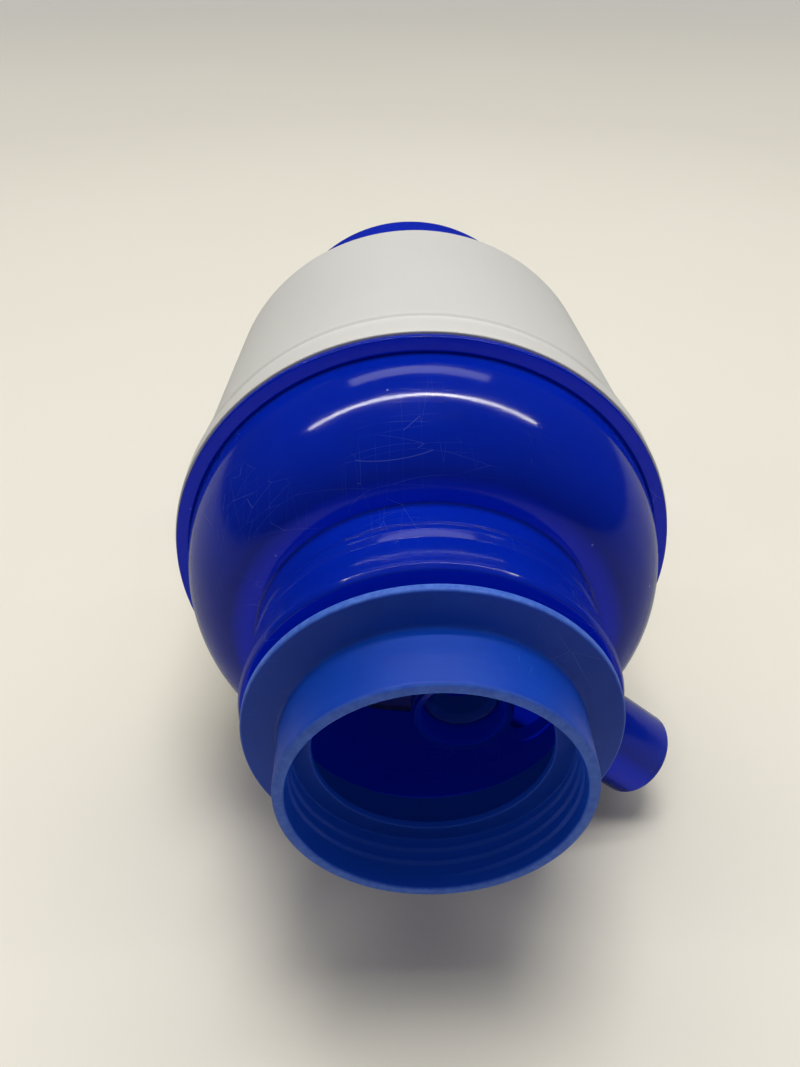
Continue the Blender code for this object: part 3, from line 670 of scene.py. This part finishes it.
def base_bowl(finishes):
    front, back, lip_r = extent("base_bowl")
    span = DOME_END - DOME_START
    outer_dome = arc((DOME_FOOT_R, DOME_END), (DOME_R - DOME_FOOT_R, span), 0, -90, 40)
    inner_dome = arc((DOME_FOOT_R - WALL, DOME_END), (DOME_R - DOME_FOOT_R, span - WALL), -90, 0, 24)
    foot, crest, top = SNAP_BEAD
    outline = [
        (UPSTAND_R, back, 0.4), (UPSTAND_R, top, 0.2), (UPSTAND_R + SNAP_PROUD, crest, 0.3),
        (UPSTAND_R, foot, 0.2), (UPSTAND_R, LIP_BACK, 0.2), (lip_r, LIP_BACK, 0.3),
        (lip_r, LIP_FRONT, 0.5), (DOME_R + 0.7, LIP_CREASE[0], 0.35), (DOME_R + 0.1, LIP_CREASE[1], 0.0),
        *outer_dome, (NECK_TOP_R, DOME_START - 0.4, 0.5), (NECK_R + 0.2, NECK_GROOVE[1] + 0.4, 0.3),
        (NECK_R - 0.05, NECK_GROOVE[1], 0.3), (NECK_R - 0.05, NECK_GROOVE[0], 0.3),
        (NECK_R + 0.1, NECK_GROOVE[0] - 0.4, 0.3), (NECK_R, NECK_STEP, 0.4), (NECK_SPIGOT_R, NECK_STEP, 0.2),
        (NECK_SPIGOT_R, front, 0.4), (NECK_BORE, front, 0.4), (NECK_BORE, NECK_FLARE[0], 0.5),
        (NECK_FLARE_R, NECK_FLARE[1], 0.5), *inner_dome, (DOME_R - WALL, LIP_BACK, 0.2),
        (UPSTAND_BORE, LIP_BACK, 0.3), (UPSTAND_BORE, back, 0.4)]
    bowl = turned("bowl_fine", rounded(outline))
    station = OUTLET_STATION
    combine(bowl, rod("boss", BOSS_R, toward_outlet(BOSS[0], station), toward_outlet(BOSS[1], station)),
            "UNION")
    combine(bowl, rod("hole", OUTLET_R + GAP, toward_outlet(OUTLET_HOLE[0], station),
                      toward_outlet(OUTLET_HOLE[1], station), 96), "DIFFERENCE")
    combine(bowl, rod("groove", O_RING_GROOVE_R, toward_outlet(O_RING_GROOVE[0], station),
                      toward_outlet(O_RING_GROOVE[1], station)), "DIFFERENCE")
    return dress(bowl, "base_bowl", finishes)


def outlet_elbow(finishes):
    socket_front = extent("outlet_elbow")[0]
    path = [toward_outlet(SOCKET_OFFSET, socket_front + 0.4 * i) for i in range(4)]
    for i in range(25):
        a = math.pi / 2.0 * i / 24
        distance = SOCKET_OFFSET + BEND_R * (1.0 - math.cos(a))
        path.append(toward_outlet(distance, OUTLET_STATION - BEND_R * (1.0 - math.sin(a))))
    lip = OUTLET_LIP
    steps = OUTLET_LIP_STEPS
    for i in range(steps, -1, -1):
        path.append(toward_outlet(OUTLET_REACH - lip * 2.0 * i / steps, OUTLET_STATION))
    last = len(path) - 1
    outer = [(i, OUTLET_R) for i in range(3, last - steps)]
    inner = [(i, OUTLET_BORE) for i in range(last - steps, 2, -1)]

    def end_ring(first, radius, sign):
        """Rings that draw a quarter-round edge of the tube's end, from the wall to the end face."""
        rings = []
        for k in range(steps + 1):
            a = math.pi / 2.0 * k / steps
            rings.append((first + k, radius - sign * lip * (1.0 - math.cos(a))))
        return rings

    rings = [*end_ring(0, OUTLET_R - lip, -1)[:steps], *outer]
    rings += end_ring(last - steps, OUTLET_R, 1)
    rings += [(last, OUTLET_BORE + 0.3), (last - 1, OUTLET_BORE)]
    rings += inner
    rings += [(1, OUTLET_BORE), (0, OUTLET_BORE + 0.3)]
    return dress(swept("elbow_fine", path, rings, 96), "outlet_elbow", finishes)


def flat_ring(node, name, inner, finishes, corner=0.3, steps=MEDIUM):
    """A plain ring with softened edges, as large as its CAD node."""
    front, back, outer = extent(node)
    outline = [(inner, back, corner), (outer, back, corner), (outer, front, corner), (inner, front, corner)]
    return dress(turned(name, rounded(outline), steps), node, finishes)


def off_axis_ring(obj, distance):
    """Moves a turned mesh from the pump's axis towards the outlet."""
    obj.data.transform(Matrix.Translation(toward_outlet(distance, 0.0) - point(0.0, 0.0, 0.0)))
    return obj


def riser_grommet(finishes):
    front, back, outer = extent("riser_grommet")
    bore = GROMMET_BORE
    outline = [(bore + 0.6, back, 0.3), (outer, back, 0.5), (outer, front, 0.6), (bore + 1.4, front, 0.4),
               (bore, front + 1.6, 0.5), (bore + 0.7, front + 3.2, 0.5), (bore, front + 5.0, 0.5)]
    ring = off_axis_ring(turned("grommet_fine", rounded(outline), SMALL), SOCKET_OFFSET)
    return dress(ring, "riser_grommet", finishes)


def outlet_o_ring(finishes):
    middle = sum(O_RING_GROOVE) / 2.0
    wire = (O_RING_GROOVE_R - OUTLET_R) / 2.0 - GAP
    ring_r = (O_RING_GROOVE_R + OUTLET_R) / 2.0
    bm = bmesh.new()
    section = []
    for i in range(20):
        a = 2.0 * math.pi * i / 20
        section.append(bm.verts.new(((ring_r + wire * math.cos(a)) * MM, 0.0, wire * math.sin(a) * MM)))
    edges = [bm.edges.new((section[i - 1], section[i])) for i in range(20)]
    bmesh.ops.spin(bm, geom=section + edges, cent=(0, 0, 0), axis=(0, 0, 1), angle=2.0 * math.pi,
                   steps=SMALL, use_merge=True, use_duplicate=False)
    direction = toward_outlet(1.0, 0.0) - toward_outlet(0.0, 0.0)
    turn = direction.to_track_quat("Z", "Y").to_matrix().to_4x4()
    bmesh.ops.transform(bm, matrix=Matrix.Translation(toward_outlet(middle, OUTLET_STATION)) @ turn,
                        verts=bm.verts)
    return dress(finished("o_ring_fine", bm), "outlet_o_ring", finishes)


def ported_plate(node, name, side, finishes):
    """A plate with a stem hole, a ring of ports and a rib that centres the spring."""
    front, back, outer = extent(node)
    if side > 0:
        back = front + VALVE_PLATE
        face, lift = back, RIB_HEIGHT
    else:
        front = back - UPPER_PLATE
        face, lift = front, -RIB_HEIGHT
    rib = [(RIB_R - RIB_WIDTH, face, 0.3), (RIB_R - RIB_WIDTH, face + lift, 0.4),
           (RIB_R, face + lift, 0.4), (RIB_R, face, 0.4)]
    if side > 0:
        outline = [(STEM_HOLE_R, back, 0.2), *rib, (outer, back, 0.5), (outer, front, 0.5),
                   (STEM_HOLE_R, front, 0.2)]
    else:
        outline = [(STEM_HOLE_R, back, 0.2), (outer, back, 0.5), (outer, front, 0.5), *reversed(rib),
                   (STEM_HOLE_R, front, 0.2)]
    plate = turned(name, rounded(outline), MEDIUM)
    for i in range(PORT_COUNT):
        a = 2.0 * math.pi * i / PORT_COUNT
        x, y = PORT_RING_R * math.cos(a), PORT_RING_R * math.sin(a)
        combine(plate, rod("port", PORT_R, point(x, y, front - 2.0), point(x, y, back + 2.0), 24),
                "DIFFERENCE")
    return dress(plate, node, finishes)


def mushroom_valve(node, name, finishes):
    """A soft disc under the plate, a stem and a barbed bulb, all in one."""
    front, back, disc_r = extent(node)
    disc_back = front + VALVE_DISC
    bulb = back - VALVE_BULB
    stem_r = STEM_HOLE_R - GAP
    outline = [
        (0.0, back, 0.0), (1.5, back - 0.5, 0.4), (STEM_HOLE_R + 0.7, bulb + 0.5, 0.3),
        (STEM_HOLE_R + 0.7, bulb, 0.2), (stem_r, bulb, 0.2), (stem_r, disc_back, 0.5),
        (disc_r, disc_back, 0.15), (disc_r, disc_back - 0.66, 0.3), (4.0, disc_back - 1.54, 0.8),
        (0.0, front, 0.0)]
    return dress(turned(name, rounded(outline, closed=False), SMALL, closed=False), node, finishes)


def bellows(finishes):
    bottom, top, flange_r = extent("bellows")
    first = bottom + BELLOWS_FLANGE + FOLD_START
    last = top - BELLOWS_COLLAR
    pitch = (last - first) / BELLOWS_FOLDS
    outer = []
    inner = []
    for i in range(2 * BELLOWS_FOLDS + 1):
        station = last - pitch * i / 2.0
        radius = BELLOWS_OUT_R if i % 2 else BELLOWS_IN_R
        outer.append((radius, station, 1.1))
        inner.append((radius - BELLOWS_WALL, station, 1.0))
    top_flange_r = extent("bellows_plate")[2]
    bore = BELLOWS_IN_R - BELLOWS_WALL
    outline = [
        (top_flange_r, top, 0.4), (top_flange_r, top - BELLOWS_FLANGE, 0.4),
        (BELLOWS_IN_R, top - BELLOWS_FLANGE, 0.8), *outer, (BELLOWS_IN_R, bottom + BELLOWS_FLANGE, 0.8),
        (flange_r, bottom + BELLOWS_FLANGE, 0.4), (flange_r, bottom, 0.4), (bore, bottom, 0.4),
        *reversed(inner), (bore, top, 0.4)]
    obj = dress(turned("bellows_fine", rounded(outline), MEDIUM), "bellows", finishes)
    squeeze(obj)
    return obj


def squeeze(obj):
    """Gives a piece its own copy of its mesh."""
    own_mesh(obj)


def return_spring(finishes):
    bottom, top, _ = extent("return_spring")
    low = bottom + SPRING_WIRE_R
    high = top - SPRING_WIRE_R
    dead_pitch = 2.0 * SPRING_WIRE_R + GAP
    rise = high - low - 2.0 * dead_pitch
    path = []
    for i in range((SPRING_TURNS + 2) * SPRING_STEPS + 1):
        turns = i / SPRING_STEPS
        active = min(max(turns - 1.0, 0.0), SPRING_TURNS)
        station = low + (turns - active) * dead_pitch + rise * active / SPRING_TURNS
        a = 2.0 * math.pi * turns
        path.append(point(SPRING_R * math.cos(a), SPRING_R * math.sin(a), station))
    last = len(path) - 1
    rings = [(0, 0.02), (0, SPRING_WIRE_R * 0.8)]
    rings += [(i, SPRING_WIRE_R) for i in range(1, last)]
    rings += [(last, SPRING_WIRE_R * 0.8), (last, 0.02)]
    spring = dress(swept("spring_fine", path, rings, 14), "return_spring", finishes)
    squeeze(spring)
    return spring


def housing_shell(finishes):
    front, back, body_r = extent("housing_shell")
    seal_back = extent("housing_seal")[1]
    ledge = seal_back + GAP
    foot, crest, top = SNAP_BEAD
    rounding = arc((BARREL_TOP_R - SHOULDER_ROUND, BARREL_END), (SHOULDER_ROUND, SHOULDER_ROUND), 90, 0, 14)
    inner_r = SHOULDER_ROUND - HOUSING_WALL
    inner_round = arc((BARREL_TOP_R - SHOULDER_ROUND, BARREL_END), (inner_r, inner_r), 0, 60, 6)
    outline = [
        (GUIDE_SEAT_R, back, 0.5), *rounding, (BARREL_R - 0.75, SKIRT_BACK + 8.2, 0.3),
        (BARREL_R - 0.2, SKIRT_BACK + 7.5, 0.3), (BARREL_R - 0.2, SKIRT_BACK + 6.3, 0.3),
        (BARREL_R - 0.75, SKIRT_BACK + 5.6, 0.3), (BARREL_R - 0.65, SKIRT_BACK + 1.6, 0.5),
        (BARREL_R - 0.3, SKIRT_BACK + 0.4, 0.2), (body_r, SKIRT_BACK - 0.2, 0.35),
        (body_r, front, 0.45), (SKIRT_BORE, front, 0.3), (SKIRT_BORE, foot - GAP, 0.2),
        (SKIRT_BORE + SNAP_PROUD, crest, 0.3), (SKIRT_BORE, top + GAP, 0.2), (SKIRT_BORE, ledge, 0.3),
        (HOUSING_LEDGE_R, ledge, 0.3), (HOUSING_LEDGE_R, ledge + LEDGE_DEPTH, 0.3),
        (BARREL_R - 2.4, ledge + 3.4, 0.8), *inner_round, (GUIDE_TUBE_R, back - 3.5, 0.6),
        (GUIDE_TUBE_R, GUIDE_END, 0.4), (GUIDE_STOP_R, GUIDE_END, 0.3),
        (GUIDE_STOP_R, GUIDE_END + LEDGE_DEPTH, 0.2), (GUIDE_SEAT_R, GUIDE_END + LEDGE_DEPTH, 0.2)]
    return dress(turned("housing_fine", rounded(outline)), "housing_shell", finishes)


def press_button(finishes):
    front, back, rim_r = extent("press_button")
    edge_r = BUTTON_R - BUTTON_EDGE
    side_top = back - BUTTON_CROWN - BUTTON_EDGE
    edge = arc((edge_r, side_top), (BUTTON_EDGE, BUTTON_EDGE), 72, 0, 14)
    foot_r, foot_s, _ = edge[0]
    steps = 12
    crown = []
    for i in range(steps):
        share = i / steps
        crown.append((foot_r * share, back - (back - foot_s) * share ** 2, 0.0))
    inner_crown = [(r, s - BUTTON_WALL, 0.0) for r, s, _ in crown]
    inner_edge_r = BUTTON_EDGE - BUTTON_WALL
    inner_edge = arc((edge_r, side_top), (inner_edge_r, inner_edge_r), 0, 60, 6)
    bore = BUTTON_R - BUTTON_WALL
    ledge = extent("bellows_plate")[1] + GAP
    outline = [
        *crown, *edge, (BUTTON_R, BUTTON_RIM_BACK, 0.3), (rim_r, BUTTON_RIM_BACK, 0.4),
        (rim_r, front, 0.4), (bore, front, 0.4), (bore, ledge, 0.2), (bore - BUTTON_LEDGE, ledge, 0.3),
        (bore - BUTTON_LEDGE, ledge + LEDGE_DEPTH, 0.3),
        (bore, ledge + 4.0, 0.5), *inner_edge, *reversed(inner_crown)]
    button = turned("button_fine", rounded(outline, closed=False), closed=False)
    for i in range(VENT_COUNT):
        a = math.pi * (0.25 + 0.5 * i)
        ends = [point(r * math.cos(a), r * math.sin(a), VENT_STATION) for r in (bore - 5.0, BUTTON_R + 5.0)]
        combine(button, rod("vent", VENT_R, ends[0], ends[1], 32), "DIFFERENCE")
    return dress(button, "press_button", finishes)


def build_pump(finishes):
    neck_adapter(finishes)
    collar_ring(finishes)
    base_bowl(finishes)
    outlet_elbow(finishes)
    outlet_o_ring(finishes)
    riser_grommet(finishes)
    flat_ring("adapter_seal", "adapter_seal_fine", NECK_BORE, finishes)
    flat_ring("plate_seal", "plate_seal_fine", DOME_R - WALL, finishes)
    flat_ring("housing_seal", "housing_seal_fine", UPSTAND_BORE + GAP, finishes)
    flat_ring("button_guide_ring", "guide_ring_fine", GUIDE_RING_BORE, finishes, 0.5, FINE)
    flat_ring("bellows_bottom_ring", "bottom_ring_fine", BELLOWS_OUT_R + 1.2, finishes, 0.5)
    flat_ring("bellows_top_ring", "top_ring_fine", BELLOWS_IN_R + 1.2, finishes, 0.5)
    ported_plate("valve_plate", "valve_plate_fine", 1, finishes)
    ported_plate("bellows_plate", "bellows_plate_fine", -1, finishes)
    mushroom_valve("outlet_valve", "outlet_valve_fine", finishes)
    mushroom_valve("inlet_valve", "inlet_valve_fine", finishes)
    bellows(finishes)
    return_spring(finishes)
    housing_shell(finishes)
    press_button(finishes)


# ---------------------------------------------------------------- stage, light and camera

def floor():
    """A plane that just touches the lowest point of the pump."""
    bm = bmesh.new()
    bmesh.ops.create_grid(bm, x_segments=8, y_segments=8, size=FLOOR_HALF_SIZE,
                          matrix=Matrix.Translation((0.0, 0.0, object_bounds()[0].z)))
    obj = finished("floor", bm)
    obj.data.materials.append(floor_finish())
    obj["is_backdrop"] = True


def area_light(name, place, target, size, power, colour, mirrored):
    data = bpy.data.lights.new(name, "AREA")
    data.shape = "RECTANGLE"
    data.size, data.size_y = size
    data.energy = power
    data.color = colour
    obj = bpy.data.objects.new(name, data)
    obj.location = place
    obj.rotation_euler = (Vector(target) - Vector(place)).to_track_quat("-Z", "Y").to_euler()
    obj.visible_camera = False
    obj.visible_glossy = mirrored
    bpy.context.scene.collection.objects.link(obj)


def lighting():
    """Ceiling tubes behind the pump, a soft overhead wash and two fills, in a dim room."""
    centre = point(0.0, 0.0, LIT_STATION)
    for name, place, size, power, colour, mirrored in LIGHTS:
        area_light(name, place, centre, size, power, colour, mirrored)
    world = bpy.data.worlds.new("room")
    bpy.context.scene.world = world
    world.use_nodes = True
    nodes = world.node_tree.nodes
    links = world.node_tree.links
    rays = nodes.new("ShaderNodeLightPath")
    backdrop = nodes.new("ShaderNodeMapRange")
    links.new(rays.outputs["Is Camera Ray"], backdrop.inputs["Value"])
    backdrop.inputs["To Min"].default_value = ROOM_LIGHT
    backdrop.inputs["To Max"].default_value = BACKDROP_LIGHT
    reflected = nodes.new("ShaderNodeMath")
    reflected.operation = "MULTIPLY_ADD"
    links.new(rays.outputs["Is Glossy Ray"], reflected.inputs[0])
    reflected.inputs[1].default_value = ROOM_REFLECTION - ROOM_LIGHT
    links.new(backdrop.outputs[0], reflected.inputs[2])
    background = nodes["Background"]
    background.inputs["Color"].default_value = (1.0, 0.99, 0.98, 1.0)
    links.new(reflected.outputs[0], background.inputs["Strength"])
    bpy.context.scene.view_settings.view_transform = "Standard"


def camera():
    data = bpy.data.cameras.new("camera")
    data.lens = LENS
    data.sensor_width = SENSOR_WIDTH
    data.clip_start = 0.01
    obj = bpy.data.objects.new("camera", data)
    forward = Vector(CAMERA_FORWARD).normalized()
    right = forward.cross(Vector((0.0, 0.0, 1.0))).normalized()
    up = right.cross(forward)
    place = point(*CAMERA_PLACE)
    turn = Matrix((right, up, -forward)).transposed().to_4x4()
    obj.matrix_world = Matrix.Translation(place) @ turn
    bpy.context.scene.collection.objects.link(obj)
    bpy.context.scene.camera = obj


camera()
build_pump(all_finishes())
floor()
lighting()
